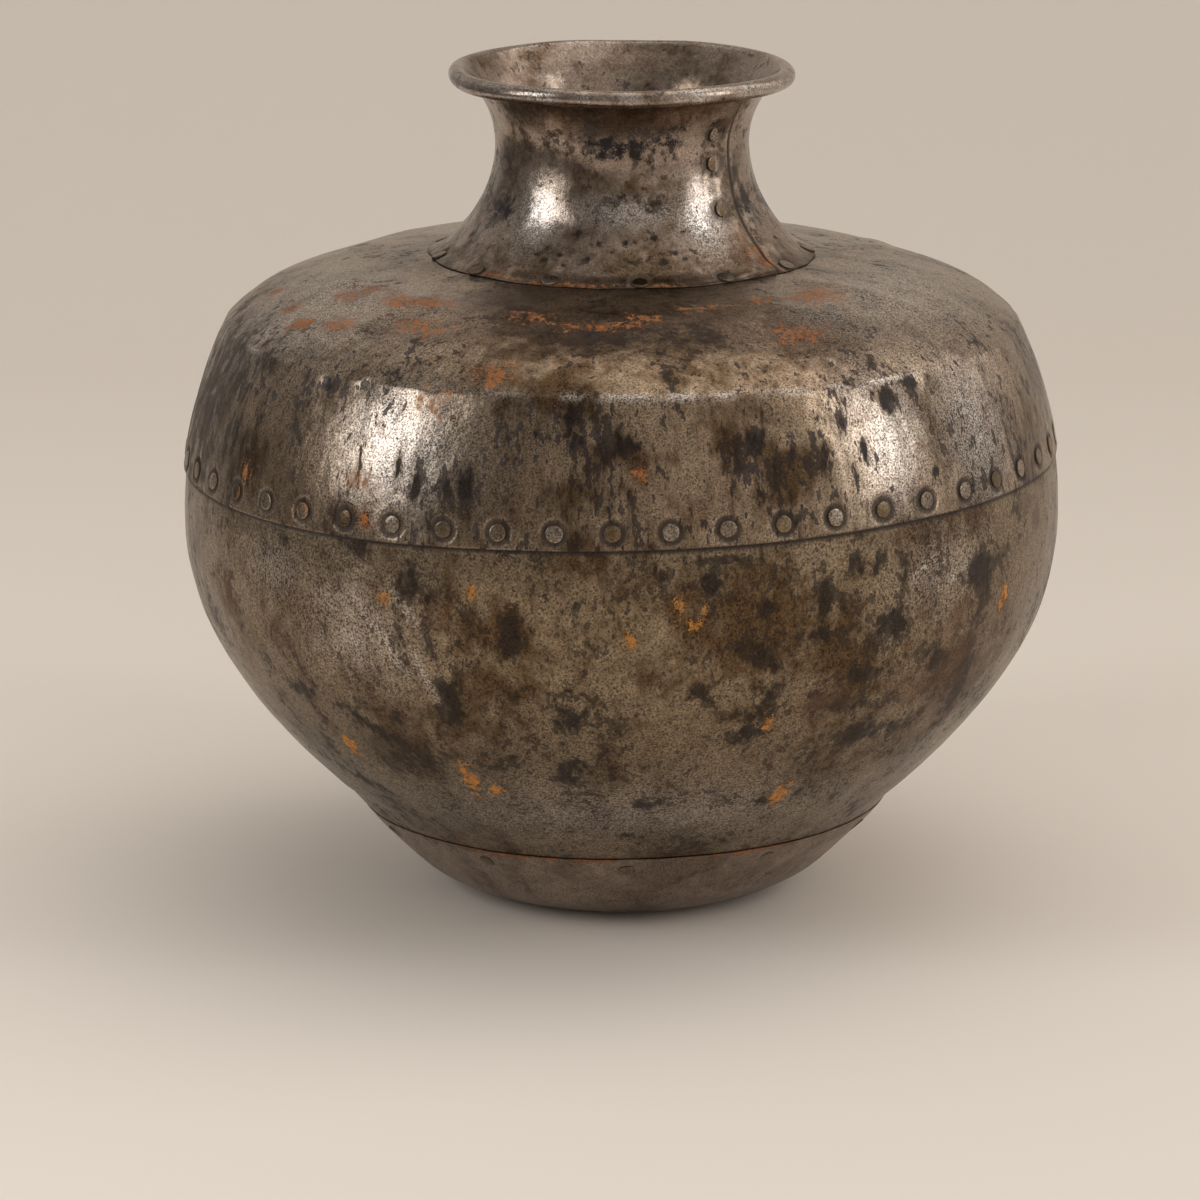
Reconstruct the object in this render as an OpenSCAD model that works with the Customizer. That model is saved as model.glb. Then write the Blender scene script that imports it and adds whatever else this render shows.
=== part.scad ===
// Riveted sheet-iron water pot: a hammered bowl, a creased shoulder shell, a dished foot pan
// and a rolled neck, lapped over one another and held by rivets.
// Millimetres, +Z up, origin on the floor at the pot's axis, front towards -Y.

/* [Body] */
// Widest diameter of the bowl
body_d = 379; // [350:1:410]
// Height of the widest point above the floor
belly_z = 165; // [155:1:180]
// Bend radius of the bowl under the widest point
belly_arc = 114; // [104:1:124]
// Turn of that bend, in degrees
belly_turn = 31; // [28:0.5:34]
// Bend radius of the flank below it
flank_arc = 222; // [200:1:245]
// Turn of the flank bend, in degrees
flank_turn = 14.5; // [12:0.5:17]
// Bend radius between the flank and the flat foot
foot_arc = 56; // [46:1:66]

/* [Shoulder] */
// Height of the crease between the band and the shoulder
crease_z = 248; // [238:1:258]
// Bend radius of the crease
crease_arc = 4; // [2:0.5:8]
// Lean of the sheet just above the crease, in degrees from upright
crease_lean = 45; // [38:1:52]
// Bend radius of the shoulder above the crease
shoulder_arc = 60; // [45:1:75]
// Slope of the shoulder, in degrees from level
shoulder_slope = 18.4; // [15:0.2:22]
// Radius at which the shoulder eases towards the neck
seat_r = 125; // [116:1:134]
// Bend radius of that easing
seat_arc = 40; // [25:1:65]
// Slope of the seat under the neck's flange, in degrees from level
seat_slope = 6; // [3:0.5:9]

/* [Sheet and laps] */
// Thickness of the sheet iron
sheet = 1.2; // [0.8:0.1:2]
// Clearance between two lapped sheets
lap_gap = 0.1; // [0.05:0.05:0.3]
// Height of the upper shell's lower edge, at the axis
belly_seam_z = 190; // [180:1:198]
// Tilt of the belly seam, rising to the right, in degrees
belly_tilt = 1.2; // [0:0.1:1.5]
// How far the bowl reaches up inside the upper shell
belly_lap = 20; // [18:1:26]
// Height of the pan's upper edge, at the axis
pan_seam_z = 39; // [36:1:44]
// Tilt of the pan's edge, rising to the right, in degrees
pan_tilt = 0.8; // [0:0.1:1.2]
// How far the bowl reaches down inside the pan, along the sheet
pan_lap = 18; // [16:1:22]

/* [Neck] */
// Radius of the collar's flange
flange_r = 84.5; // [80:0.5:90]
// Bore radius at the neck's waist
waist_r = 53; // [50:0.5:57]
// Bend radius of the neck above its waist, on the bore side
waist_arc = 40; // [34:1:48]
// Inward lean of the neck above its flange, in degrees
neck_lean = 42; // [38:1:45]
// Outward lean of the neck at its rim, in degrees
flare_lean = 40; // [34:1:46]
// Straight length of the flare below the rolled rim
flare_len = 7.5; // [7:0.5:12]
// Outside radius between flange and neck
neck_fillet = 5.5; // [4:0.5:8]
// Margin between the hole in the shoulder and the waist's bore
mouth_step = 7; // [5:0.5:9]
// Radius of the wire in the rim
wire_r = 2.5; // [2:0.1:3]
// Clearance between the wire and the sheet rolled over it
wire_gap = 0.1; // [0.05:0.05:0.2]
// Turn of the sheet round the wire, in degrees
curl_turn = 280; // [240:5:290]
// Place of the collar's lapped edge, in degrees to the right of the front
neck_seam_az = 52; // [48:0.5:56]
// Width of the collar's lap at the waist
neck_lap = 14; // [12:0.5:15]
// Gap between the top of the lap and the rolled rim
lap_stop = 1; // [0.5:0.1:2]

/* [Rivets] */
// Shank radius of every rivet
shank_r = 2.5; // [2:0.1:3]
// Radial clearance of a shank in its hole
shank_gap = 0.1; // [0.05:0.05:0.2]
// Radius of a rivet's head
head_r = 4; // [3.5:0.1:4.5]
// Height of a rivet's head
head_h = 0.9; // [0.6:0.1:1.4]
// Bevel round a rivet's head
head_bevel = 0.5; // [0.2:0.1:0.8]
// Clearance under a rivet's heads, where flat meets curved
head_gap = 0.2; // [0.15:0.05:0.3]
// Clearance between a rivet's head and the bend beside it
head_clear = 0.3; // [0.2:0.1:1]
// Number of rivets round the belly
belly_rivets = 50; // [40:1:58]
// Height of the belly row above the seam's edge
belly_row = 7.5; // [6:0.5:9]
// Place of the first belly rivet, in degrees to the right of the front
belly_first_az = -1.3; // [-4:0.1:4]
// Number of rivets round the pan
pan_rivets = 11; // [6:1:14]
// Distance of the pan's row from the pan's edge, along the sheet
pan_row = 8; // [6:0.5:9]
// Place of the first pan rivet, in degrees to the right of the front
pan_first_az = 1; // [0:1:30]
// Number of rivets round the neck's flange
flange_rivets = 13; // [11:1:13]
// Distance of the flange row from the flange's edge
flange_row = 5.5; // [5:0.5:6.5]
// Place of the first flange rivet, in degrees to the left of the collar's lap
flange_first_az = 3.8; // [3.2:0.2:8]
// Number of rivets up the neck's lap
seam_rivets = 3; // [2:1:3]
// Distance of the neck row from the lapped edge
seam_row = 7; // [6.5:0.5:8]
// Height of the first neck rivet above the bend at the flange, along the sheet
seam_foot = 26; // [21:0.5:29]
// Turn of the waist between two rivets of the neck row, in degrees
seam_pitch = 17; // [14:1:19]

/* [Hidden] */

// Facets: rings round the axis, sides of a rivet, and the longest step and turn along a bent sheet
ring_sides = 128;
rivet_sides = 32;
bend_step = 6;
bend_turn = 12;
// How far two pieces of one solid sink into each other
bite = 0.3;
// Largest share of the room between flange and waist that the bend at the flange takes
fillet_share = 0.55;
// Spare length of a drill beyond the heads
drill_over = 3;

// The body's course is the bowl's outer face; the pan and the upper shell lie outside it
course_r = body_d / 2;
outer_layer = [lap_gap, lap_gap + sheet];
floor_z = lap_gap + sheet;
wall_rise = 90 - belly_turn - flank_turn;

// Ends of the bends below the widest point
belly_end = [
    course_r - belly_arc * (1 - cos(belly_turn)),
    belly_z - belly_arc * sin(belly_turn)
];
flank_end = belly_end + flank_arc * [
    sin(wall_rise) - cos(belly_turn),
    sin(belly_turn) - cos(wall_rise)
];
foot_top_z = floor_z + foot_arc * (1 - cos(wall_rise));
flank_len = (flank_end[1] - foot_top_z) / sin(wall_rise);
foot_r = flank_end[0] - flank_len * cos(wall_rise) - foot_arc * sin(wall_rise);

// Ends of the bends above the widest point
crease_rise = asin((crease_z - belly_z) / course_r);
crease_foot = [course_r * cos(crease_rise), crease_z];
crease_top = crease_foot + crease_arc * [
    cos(crease_lean) - cos(crease_rise),
    sin(crease_lean) - sin(crease_rise)
];
shoulder_top = crease_top + shoulder_arc * [
    sin(shoulder_slope) - cos(crease_lean),
    cos(shoulder_slope) - sin(crease_lean)
];
shoulder_len = (shoulder_top[0] - seat_r) / cos(shoulder_slope);
seat_foot = shoulder_top
    + shoulder_len * [-cos(shoulder_slope), sin(shoulder_slope)]
    + seat_arc * [sin(seat_slope) - sin(shoulder_slope), cos(seat_slope) - cos(shoulder_slope)];
mouth_r = waist_r + mouth_step;
seat_len = (seat_foot[0] - mouth_r) / cos(seat_slope);

// The neck's course is the collar's bore face, which starts at the flange's edge; the flange is as
// wide as its rivets need, and the neck's lower bend takes the room that is left up to the waist
seat_up = [sin(seat_slope), cos(seat_slope)];
seat_in = [-cos(seat_slope), sin(seat_slope)];
flange_base = seat_foot + (2 * lap_gap + sheet) * seat_up;
flange_edge = flange_base + (flange_base[0] - flange_r) / cos(seat_slope) * seat_in;
flange_len = flange_row + head_r + head_clear;
neck_room = flange_r - flange_len * cos(seat_slope) - waist_r;
fillet_reach = cos(neck_lean) - sin(seat_slope);
fillet_arc = min(neck_fillet + sheet, fillet_share * neck_room / fillet_reach);
lower_arc = (neck_room - fillet_arc * fillet_reach) / (1 - cos(neck_lean));
fillet_top_z = flange_edge[1] + flange_len * sin(seat_slope)
    + fillet_arc * (cos(seat_slope) - sin(neck_lean));
waist_z = fillet_top_z + lower_arc * sin(neck_lean);
lap_turn = neck_lap / waist_r * 180 / PI;
curl_arc = wire_r + wire_gap + sheet;
flare_top = [
    waist_r + waist_arc * (1 - cos(flare_lean)) + flare_len * sin(flare_lean),
    waist_z + waist_arc * sin(flare_lean) + flare_len * cos(flare_lean)
];
wire_at = flare_top + curl_arc * [cos(flare_lean), -sin(flare_lean)];

// Links of a bent sheet: [straight length, bend radius, turn], where a left turn is positive
foot_links = [
    [foot_r, 0, 0],
    [0, foot_arc, wall_rise],
    [flank_len, 0, 0]
];
wall_links = [
    [0, flank_arc, flank_turn],
    [0, belly_arc, belly_turn]
];
shoulder_links = [
    [0, course_r, crease_rise],
    [0, crease_arc, crease_lean - crease_rise],
    [0, shoulder_arc, 90 - shoulder_slope - crease_lean],
    [shoulder_len, 0, 0],
    [0, seat_arc, shoulder_slope - seat_slope],
    [seat_len, 0, 0]
];
neck_links = [
    [flange_len, 0, 0],
    [0, fillet_arc, neck_lean + seat_slope - 90],
    [0, lower_arc, -neck_lean],
    [0, waist_arc, -flare_lean]
];
rim_links = [
    [flare_len, 0, 0],
    [0, curl_arc, -curl_turn]
];
lap_links = [[flare_len - curl_arc - lap_stop, 0, 0]];
bowl_foot_z = pan_seam_z - pan_lap * sin(wall_rise);
bowl_foot = flank_end - (flank_end[1] - bowl_foot_z) / sin(wall_rise) * [cos(wall_rise), sin(wall_rise)];
bowl_links = concat(
    [[norm(flank_end - bowl_foot), 0, 0]],
    wall_links,
    [[0, course_r, asin((belly_seam_z + belly_lap - belly_z) / course_r)]]
);

// Unit vectors along a heading and to its right, which is the pot's outside
function along(a) = [cos(a), sin(a)];
function rightward(a) = [sin(a), -cos(a)];

// Centre of a link's bend, and where the link ends
function bend_centre(link, p, a) = p - sign(link[2]) * link[1] * rightward(a);
function link_end(link, p, a) = link[2] == 0
    ? p + link[0] * along(a)
    : bend_centre(link, p, a) + sign(link[2]) * link[1] * rightward(a + link[2]);

// Points of one link, offset to the right by d
function bend_count(link) =
    ceil(max(abs(link[2]) / bend_turn, abs(link[2]) * PI / 180 * link[1] / bend_step));
function link_points(link, p, a, d) = link[2] == 0
    ? [link_end(link, p, a) + d * rightward(a)]
    : let (n = bend_count(link), c = bend_centre(link, p, a), s = sign(link[2]))
      [for (i = [1:n]) c + (s * link[1] + d) * rightward(a + link[2] * i / n)];

// Points of a whole chain of links from point p and heading a, offset to the right by d
function chain(links, p, a, d, i = 0) = i == len(links)
    ? []
    : concat(
        i == 0 ? [p + d * rightward(a)] : [],
        link_points(links[i], p, a, d),
        chain(links, link_end(links[i], p, a), a + links[i][2], d, i + 1)
    );
function backwards(list) = [for (i = [len(list) - 1:-1:0]) list[i]];

// Section of a bent sheet between two offsets from its course
module sheet_section(links, p, a, layer) {
    polygon(concat(chain(links, p, a, layer[0]), backwards(chain(links, p, a, layer[1]))));
}

// Turn a section round the pot's axis
module spun(turn = 360) {
    rotate_extrude(angle = turn, $fn = ring_sides)
        children();
}

// Everything below a seam's edge: a wide cone square to the sheet, with its edge tilted up to the right
module below_seam(edge, rise, tilt) {
    peak = edge[0] * tan(90 - rise);
    depth = 2 * edge[1];
    translate([0, 0, edge[1]])
        rotate([0, -tilt, 0])
            translate([0, 0, -depth])
                cylinder(h = depth + peak, r1 = edge[0] + depth * tan(rise), r2 = 0, $fn = ring_sides);
}

// Direction seen from above, for an angle to the right of the front
function facing(az) = az - 90;

// Children stand on the sheet at point p, with +Z along its outward normal at the given rise
module on_sheet(p, rise, az) {
    rotate([0, 0, facing(az)])
        translate([p[0], 0, p[1]])
            rotate([0, 90 - rise, 0])
                children();
}

// Rivet places, each on the inner sheet's outer face or, at the neck's lap, on the bore face
module at_belly_rivets() {
    row_z = belly_seam_z + belly_row;
    for (i = [0:belly_rivets - 1]) {
        az = belly_first_az + 360 * i / belly_rivets;
        z = row_z + course_r * sin(az) * tan(belly_tilt);
        rise = asin((z - belly_z) / course_r);
        on_sheet([course_r * cos(rise), z], rise, az)
            children();
    }
}

module at_pan_rivets() {
    row_z = pan_seam_z - pan_row * sin(wall_rise);
    for (i = [0:pan_rivets - 1]) {
        az = pan_first_az + 360 * i / pan_rivets;
        level_r = flank_end[0] - (flank_end[1] - row_z) / tan(wall_rise);
        z = row_z + level_r * sin(az) * tan(pan_tilt);
        r = flank_end[0] - (flank_end[1] - z) / tan(wall_rise);
        on_sheet([r, z], wall_rise - 90, az)
            children();
    }
}

module at_flange_rivets() {
    p = flange_edge + flange_row * seat_in - lap_gap * seat_up;
    first_az = neck_seam_az - lap_turn - flange_first_az;
    for (i = [0:flange_rivets - 1]) {
        on_sheet(p, 90 - seat_slope, first_az + 360 * i / flange_rivets)
            children();
    }
}

module at_seam_rivets() {
    az = neck_seam_az - seam_row / waist_r * 180 / PI;
    first_lean = neck_lean - seam_foot / lower_arc * 180 / PI;
    for (i = [0:seam_rivets - 1]) {
        lean = first_lean - seam_pitch * i;
        arc = lean > 0 ? lower_arc : waist_arc;
        p = [waist_r + arc * (1 - cos(lean)), waist_z - arc * sin(lean)];
        on_sheet(p, lean, az)
            children();
    }
}

// Drill through a stack of sheets
module rivet_hole() {
    reach = 2 * sheet + lap_gap + drill_over;
    translate([0, 0, -reach])
        cylinder(h = 2 * reach, r = shank_r + shank_gap, $fn = rivet_sides);
}

// Rivet through sheets that lie from z = low to z = high, with a flat bevelled head on both sides
module rivet(low, high, gap = head_gap) {
    under = low - gap;
    over = high + gap;
    translate([0, 0, under - bite])
        cylinder(h = over - under + 2 * bite, r = shank_r, $fn = rivet_sides);
    translate([0, 0, over])
        rivet_head();
    translate([0, 0, under])
        mirror([0, 0, 1])
            rivet_head();
}

module rivet_head() {
    cylinder(h = head_h - head_bevel, r = head_r, $fn = rivet_sides);
    translate([0, 0, head_h - head_bevel])
        cylinder(h = head_bevel, r1 = head_r, r2 = head_r - head_bevel, $fn = rivet_sides);
}

// Dished foot, outside the bowl's lower edge
module base_pan() {
    edge_r = flank_end[0] - (flank_end[1] - pan_seam_z) / tan(wall_rise);
    color("#3f3a37")
        difference() {
            intersection() {
                spun()
                    sheet_section(foot_links, [0, floor_z], 0, outer_layer);
                below_seam([edge_r, pan_seam_z], wall_rise, pan_tilt);
            }
            at_pan_rivets()
                rivet_hole();
        }
}

// Bowl, from inside the pan to inside the upper shell
module lower_bowl() {
    color("#5b534d")
        difference() {
            spun()
                sheet_section(bowl_links, bowl_foot, wall_rise, [-sheet, 0]);
            at_pan_rivets()
                rivet_hole();
            at_belly_rivets()
                rivet_hole();
        }
}

// Band and shoulder in one sheet, outside the bowl
module upper_shell() {
    color("#6a625b")
        difference() {
            spun()
                sheet_section(shoulder_links, [course_r, belly_z], 90, outer_layer);
            translate([0, 0, belly_seam_z])
                rotate([0, -belly_tilt, 0])
                    translate([0, 0, -belly_z])
                        cylinder(h = belly_z, r = body_d, $fn = ring_sides);
            at_belly_rivets()
                rivet_hole();
            at_flange_rivets()
                rivet_hole();
        }
}

// Neck: one rolled sheet with a flange, a lap over its own end and a rim rolled over a wire
module neck_collar() {
    start = 180 - seat_slope;
    color("#5f5751")
        difference() {
            union() {
                spun()
                    sheet_section(concat(neck_links, rim_links), flange_edge, start, [0, sheet]);
                rotate([0, 0, facing(neck_seam_az - lap_turn)])
                    spun(lap_turn)
                        sheet_section(concat(neck_links, lap_links), flange_edge, start,
                            [sheet - bite, 2 * sheet]);
            }
            at_flange_rivets()
                rivet_hole();
            at_seam_rivets()
                rivet_hole();
        }
}

// Wire inside the rolled rim
module rim_wire() {
    color("#4a443f")
        spun()
            translate(wire_at)
                circle(r = wire_r, $fn = rivet_sides);
}

module base_seam_rivets() {
    color("#6e675f")
        at_pan_rivets()
            rivet(-sheet, lap_gap + sheet);
}

module belly_seam_rivets() {
    color("#7d756c")
        at_belly_rivets()
            rivet(-sheet, lap_gap + sheet);
}

module neck_flange_rivets() {
    color("#7d756c")
        at_flange_rivets()
            rivet(-sheet, lap_gap + sheet);
}

module neck_seam_rivets() {
    hollow = head_r * head_r / (2 * (min(lower_arc, waist_arc) - 2 * sheet));
    color("#7d756c")
        at_seam_rivets()
            rivet(0, 2 * sheet, max(head_gap, hollow + lap_gap));
}

base_pan();
lower_bowl();
upper_shell();
neck_collar();
rim_wire();
base_seam_rivets();
belly_seam_rivets();
neck_flange_rivets();
neck_seam_rivets();
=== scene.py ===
from functools import partial
from math import asin, atan2, cos, pi, radians, sin, tan

import bpy
import numpy as np
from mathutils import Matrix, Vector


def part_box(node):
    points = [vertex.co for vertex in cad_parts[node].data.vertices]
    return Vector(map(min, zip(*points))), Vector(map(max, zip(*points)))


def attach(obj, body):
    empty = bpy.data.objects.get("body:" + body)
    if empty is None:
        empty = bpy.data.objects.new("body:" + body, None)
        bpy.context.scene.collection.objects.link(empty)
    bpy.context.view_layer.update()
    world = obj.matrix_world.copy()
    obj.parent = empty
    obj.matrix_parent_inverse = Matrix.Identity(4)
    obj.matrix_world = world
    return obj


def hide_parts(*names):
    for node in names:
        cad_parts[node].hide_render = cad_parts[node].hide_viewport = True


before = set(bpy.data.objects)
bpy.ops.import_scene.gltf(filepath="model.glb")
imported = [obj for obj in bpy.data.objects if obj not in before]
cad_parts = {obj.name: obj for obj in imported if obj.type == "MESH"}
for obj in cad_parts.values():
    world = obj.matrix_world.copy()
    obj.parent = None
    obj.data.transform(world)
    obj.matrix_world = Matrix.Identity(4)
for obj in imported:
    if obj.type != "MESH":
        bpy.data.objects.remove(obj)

mm = 0.001
scene = bpy.context.scene
scene.view_settings.view_transform = "Standard"
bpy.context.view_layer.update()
print("frame: %d nodes" % len(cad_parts))


# Camera: a long lens a little above the pot, level from side to side
lookFrom = {"place": (-9.3 * mm, -2535.4 * mm, 759.3 * mm), "down": 14.083, "lens": 180.14, "sensor": 36}

camera = bpy.data.objects.new("camera", bpy.data.cameras.new("camera"))
camera.location = lookFrom["place"]
camera.rotation_euler = (radians(90 - lookFrom["down"]), 0, 0)
camera.data.lens = lookFrom["lens"]
camera.data.sensor_width = lookFrom["sensor"]
scene.collection.objects.link(camera)
scene.camera = camera
print("camera set")


# An sRGB hex colour as linear red, green, blue and alpha
def toLinear(hexColour):
    c = np.array([int(hexColour[i:i + 2], 16) for i in (1, 3, 5)]) / 255
    return (*np.where(c <= 0.04045, c / 12.92, ((c + 0.055) / 1.055) ** 2.4), 1.0)


# Adds one node: settings first, then each input is wired or set
def addNode(tree, kind, inputs=None, **settings):
    made = tree.nodes.new("ShaderNode" + kind)
    for name, value in settings.items():
        setattr(made, name, value)
    for key, value in (inputs or {}).items():
        if isinstance(value, bpy.types.NodeSocket):
            tree.links.new(value, made.inputs[key])
        else:
            made.inputs[key].default_value = value
    return made.outputs


sharpFrom = radians(50)  # only edges sharper than this stay crisp


# Puts arrays of points and faces, with a mask for each kind of wear, into a smooth mesh
def makePiece(name, points, faces, masks=None):
    mesh = bpy.data.meshes.new(name)
    corners = [face for part in faces for face in part.tolist()]
    mesh.from_pydata(points.reshape(-1, 3).tolist(), [], corners)
    mesh.polygons.foreach_set("use_smooth", np.ones(len(mesh.polygons), bool))
    for mask, values in (masks or {}).items():
        layer = mesh.attributes.new(mask, "FLOAT", "POINT")
        layer.data.foreach_set("value", values.ravel().astype(np.float32))
    mesh.set_sharp_from_angle(angle=sharpFrom)
    piece = bpy.data.objects.new(name, mesh)
    scene.collection.objects.link(piece)
    return piece


# Faces of a grid wrapped round its columns: rows wrap too, or close in fans on two end points
def ringFaces(rows, columns, poles):
    i, j = np.meshgrid(np.arange(rows - 1 if poles else rows), np.arange(columns), indexing="ij")
    up, on = (i + 1) % rows, (j + 1) % columns
    quads = np.stack([i * columns + j, i * columns + on, up * columns + on, up * columns + j], -1)
    if not poles:
        return [quads.reshape(-1, 4)]
    j = np.arange(columns)
    on = (j + 1) % columns
    top = (rows - 1) * columns
    bottomFan = np.stack([np.full(columns, rows * columns), on, j], -1)
    topFan = np.stack([top + j, top + on, np.full(columns, rows * columns + 1)], -1)
    return [quads.reshape(-1, 4), bottomFan, topFan]


# 0 up to low, 1 from high on, and a cubic ease between them
def smoothStep(low, high, x):
    t = np.clip((x - low) / (high - low), 0, 1)
    return t * t * (3 - 2 * t)


# Points at a radius, an angle round the pot's axis and a height
def roundAxis(radius, angle, height=0.0):
    return np.stack([radius * np.cos(angle), radius * np.sin(angle), height + 0 * angle], -1)


latticeWeights, latticeGain = np.array([127.1, 311.7, 74.7]), 43758.5453  # these scatter the heights


# Uneven lumps from -1 to 1: fixed random heights on a cubic lattice, eased between its corners
def lumps(points, size, seed):
    q = points / size + seed
    cell = np.floor(q)
    t = q - cell
    t = t ** 3 * (t * (6 * t - 15) + 10)
    total = np.zeros(points.shape[:-1])
    for corner in np.ndindex(2, 2, 2):
        height = np.sin((cell + corner) @ latticeWeights) * latticeGain
        total += np.prod(np.where(corner, t, 1 - t), axis=-1) * (height - np.floor(height))
    return 2 * total - 1


# Point and heading at a distance along a chain of runs, each (length, turn): straight without a turn, an arc
# with one, and the last run goes on past its end
def bentCourse(start, heading, runs, along):
    r, z = np.full(along.shape, start[0]), np.full(along.shape, start[1])
    h = np.full(along.shape, heading)
    reached, point = 0.0, np.array(start)
    for length, turn in runs:
        t = along - reached
        if (length, turn) != runs[-1]:
            t = np.clip(t, 0, length)
        bend = turn / length
        now = heading + bend * t
        if turn:
            stepR = (np.sin(now) - sin(heading)) / bend
            stepZ = (cos(heading) - np.cos(now)) / bend
            end = ((sin(heading + turn) - sin(heading)) / bend,
                   (cos(heading) - cos(heading + turn)) / bend)
        else:
            stepR, stepZ = t * cos(heading), t * sin(heading)
            end = (length * cos(heading), length * sin(heading))
        here = along >= reached
        r = np.where(here, point[0] + stepR, r)
        z = np.where(here, point[1] + stepZ, z)
        h = np.where(here, now, h)
        reached, point, heading = reached + length, point + end, heading + turn
    return r, z, h


# Soft patches on a sheet, each a bell that falls off from 1 at its middle: (degrees right of the front,
# mm up the sheet, mm wide, mm tall, and where it leans, the lean in degrees)
def patches(along, angle, radius, places):
    total = np.zeros(along.shape)
    for azimuth, up, wide, tall, *lean in places:
        turn = (angle - radians(azimuth - 90) + pi) % (2 * pi) - pi
        across, upward = turn * radius, along - up * mm
        tilt = radians(lean[0]) if lean else 0.0
        c, s = cos(tilt), sin(tilt)
        u = (c * across + s * upward) * 2 / (wide * mm)
        v = (c * upward - s * across) * 2 / (tall * mm)
        total = np.maximum(total, np.exp(-(u * u + v * v)))
    return total


# The body's course is the bowl's outer face, from the middle of the foot up to the mouth
body = {
    "bellyRadius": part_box("lower_bowl")[1].x, "bellyHeight": 165 * mm,
    "bellyBend": 114 * mm, "bellyTurn": 31, "flankBend": 222 * mm, "flankTurn": 14.5, "footBend": 56 * mm,
    "creaseHeight": 248 * mm, "creaseBend": 4 * mm, "creaseLean": 45,
    "shoulderBend": 60 * mm, "shoulderSlope": 18.4,
    "seatRadius": 125 * mm, "seatBend": 40 * mm, "seatSlope": 6, "mouthRadius": 60 * mm,
    "sheet": 1.2 * mm, "lapGap": 0.1 * mm, "samples": 4000, "seatSamples": 1500,
}
sheet, lapGap = body["sheet"], body["lapGap"]
outerLayer = (lapGap, lapGap + sheet)
floorHeight = lapGap + sheet


# Lengths of the straight runs follow from the bends between them
def bodyRuns():
    belly, flank, foot, crease, shoulder, seat = (
        body[key]
        for key in ("bellyBend", "flankBend", "footBend", "creaseBend", "shoulderBend", "seatBend"))
    bellyTurn, flankTurn, creaseLean, slope, seatSlope = (
        radians(body[key])
        for key in ("bellyTurn", "flankTurn", "creaseLean", "shoulderSlope", "seatSlope"))
    widest = body["bellyRadius"]
    wallRise = radians(90 - body["bellyTurn"] - body["flankTurn"])
    flankR = widest - belly * (1 - cos(bellyTurn)) + flank * (sin(wallRise) - cos(bellyTurn))
    flankZ = body["bellyHeight"] - belly * sin(bellyTurn) \
        + flank * (sin(bellyTurn) - cos(wallRise))
    flankRun = (flankZ - floorHeight - foot * (1 - cos(wallRise))) / sin(wallRise)
    footRadius = flankR - flankRun * cos(wallRise) - foot * sin(wallRise)
    creaseRise = asin((body["creaseHeight"] - body["bellyHeight"]) / widest)
    shoulderR = widest * cos(creaseRise) + crease * (cos(creaseLean) - cos(creaseRise)) \
        + shoulder * (sin(slope) - cos(creaseLean))
    shoulderRun = (shoulderR - body["seatRadius"]) / cos(slope)
    seatR = body["seatRadius"] + seat * (sin(seatSlope) - sin(slope))
    seatRun = (seatR - body["mouthRadius"]) / cos(seatSlope)
    shoulderTurn = pi / 2 - slope - creaseLean
    lower = [
        (footRadius, 0), (foot * wallRise, wallRise), (flankRun, 0), (flank * flankTurn, flankTurn),
        (belly * bellyTurn, bellyTurn),
    ]
    upper = [
        (widest * creaseRise, creaseRise), (crease * (creaseLean - creaseRise), creaseLean - creaseRise),
        (shoulder * shoulderTurn, shoulderTurn), (shoulderRun, 0),
        (seat * (slope - seatSlope), slope - seatSlope), (seatRun, 0),
    ]
    return lower, upper


lowerRuns, upperRuns = bodyRuns()
footEnd = -sum(length for length, turn in lowerRuns)
flatFoot = footEnd + lowerRuns[0][0]
mouthEnd = sum(length for length, turn in upperRuns)
creaseAlong = upperRuns[0][0] + upperRuns[1][0] / 2


# Distance along the body is measured from the widest point, upwards
def bodyCourse(along):
    return bentCourse((0.0, floorHeight), 0.0, lowerRuns + upperRuns, along - footEnd)


sampleAlong = np.linspace(flatFoot, mouthEnd, body["samples"])
sampleHeight = bodyCourse(sampleAlong)[1]


# How far along the body a given height is reached, read off close samples
def alongAt(height):
    return np.interp(height, sampleHeight, sampleAlong)


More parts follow.
